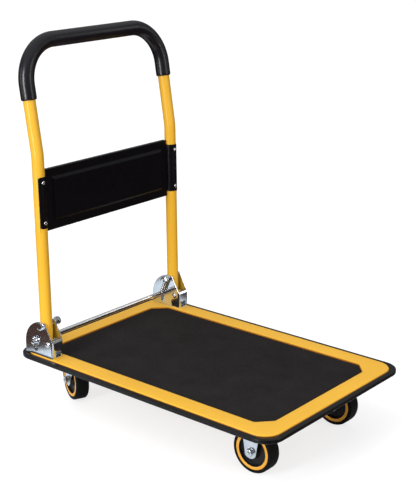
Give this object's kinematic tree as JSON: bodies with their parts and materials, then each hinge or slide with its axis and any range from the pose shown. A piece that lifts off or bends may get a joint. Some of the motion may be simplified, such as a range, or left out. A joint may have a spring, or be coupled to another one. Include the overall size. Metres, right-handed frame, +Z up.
{
  "type": "folding platform cart",
  "caption": "Four-wheeled folding platform cart: steel deck with mat and bumper, tubular push handle that folds flat, spring lock bar, rigid front and swivel rear casters.",
  "frame": {"origin": "on the ground under the middle of the deck", "axes": "+X from the handle end to the free end, +Y to the left of someone behind the handle, +Z up"},
  "size_m": [0.749, 0.504, 0.8711],
  "materials": {
    "yellow_paint": "glossy powder coat",
    "deck_mat": "fine textured, matt",
    "bumper_rubber": "smooth satin",
    "grip_rubber": "smooth satin",
    "panel_black": "satin black paint",
    "zinc": "bright zinc plate",
    "chrome": "polished",
    "tyre": "matt rubber",
    "hub_plastic": "moulded plastic",
    "ring_yellow": "moulded plastic"
  },
  "bodies": {
    "deck": {"deck_pan": "yellow_paint", "deck_mat": "deck_mat", "deck_bumper": "bumper_rubber", "crossbar_front": "yellow_paint", "crossbar_rear": "yellow_paint", "rail_left": "yellow_paint", "rail_right": "yellow_paint", "hinge_bracket_left": "zinc", "hinge_bracket_right": "zinc", "bracket_bolts": "zinc", "bracket_nuts": "zinc", "pivot_bolts": "zinc", "pivot_nuts": "zinc", "stop_rivets": "zinc", "lock_spring_left": "chrome", "lock_spring_right": "chrome", "caster_studs": "zinc", "caster_nuts": "zinc", "front_fork_left": "zinc", "front_fork_right": "zinc", "front_axles": "zinc", "front_axle_nuts": "zinc", "swivel_plate_left": "zinc", "swivel_plate_right": "zinc", "kingpins": "zinc"},
    "handle": {"handle_tube": "yellow_paint", "handle_grip": "grip_rubber", "back_panel": "panel_black", "panel_screws": "chrome", "pivot_bushes": "zinc", "heel_plugs": "hub_plastic"},
    "lock": {"lock_bar": "chrome", "lock_washers": "zinc", "lock_pins": "zinc"},
    "swivel_left": {"swivel_fork_left": "zinc", "swivel_race_left": "zinc", "rear_axle_left": "zinc", "rear_axle_nut_left": "zinc"},
    "swivel_right": {"swivel_fork_right": "zinc", "swivel_race_right": "zinc", "rear_axle_right": "zinc", "rear_axle_nut_right": "zinc"},
    "wheel_front_left": {"front_left_tyre": "tyre", "front_left_hub": "hub_plastic", "front_left_rings": "ring_yellow", "front_left_bush": "zinc"},
    "wheel_front_right": {"front_right_tyre": "tyre", "front_right_hub": "hub_plastic", "front_right_rings": "ring_yellow", "front_right_bush": "zinc"},
    "wheel_rear_left": {"rear_left_tyre": "tyre", "rear_left_hub": "hub_plastic", "rear_left_rings": "ring_yellow", "rear_left_bush": "zinc"},
    "wheel_rear_right": {"rear_right_tyre": "tyre", "rear_right_hub": "hub_plastic", "rear_right_rings": "ring_yellow", "rear_right_bush": "zinc"}
  },
  "joints": [
    {"name": "handle_fold", "type": "hinge", "parent": "deck", "child": "handle", "pos_m": [-0.2965, 0, 0.212], "axis": [0, 1, 0], "range_deg": [0, 98.5]},
    {"name": "lock_bar_press", "type": "slide", "parent": "deck", "child": "lock", "axis": [0, 0, -1], "range_m": [0, 0.018], "stiffness_N_per_m": 1500, "springref_m": -0.01, "deforming": ["lock_spring_left", "lock_spring_right"]},
    {"name": "swivel_left_turn", "type": "hinge", "parent": "deck", "child": "swivel_left", "pos_m": [-0.2635, 0.15, 0.11], "axis": [0, 0, 1], "continuous": true},
    {"name": "swivel_right_turn", "type": "hinge", "parent": "deck", "child": "swivel_right", "pos_m": [-0.2635, -0.15, 0.11], "axis": [0, 0, 1], "continuous": true},
    {"name": "wheel_front_left_roll", "type": "hinge", "parent": "deck", "child": "wheel_front_left", "pos_m": [0.2635, 0.15, 0.05], "axis": [0, 1, 0], "continuous": true},
    {"name": "wheel_front_right_roll", "type": "hinge", "parent": "deck", "child": "wheel_front_right", "pos_m": [0.2635, -0.15, 0.05], "axis": [0, 1, 0], "continuous": true},
    {"name": "wheel_rear_left_roll", "type": "hinge", "parent": "swivel_left", "child": "wheel_rear_left", "pos_m": [-0.2955, 0.15, 0.05], "axis": [0, 1, 0], "continuous": true},
    {"name": "wheel_rear_right_roll", "type": "hinge", "parent": "swivel_right", "child": "wheel_rear_right", "pos_m": [-0.29273, -0.13698, 0.05], "axis": [0.4067, 0.9135, 0], "continuous": true}
  ]
}
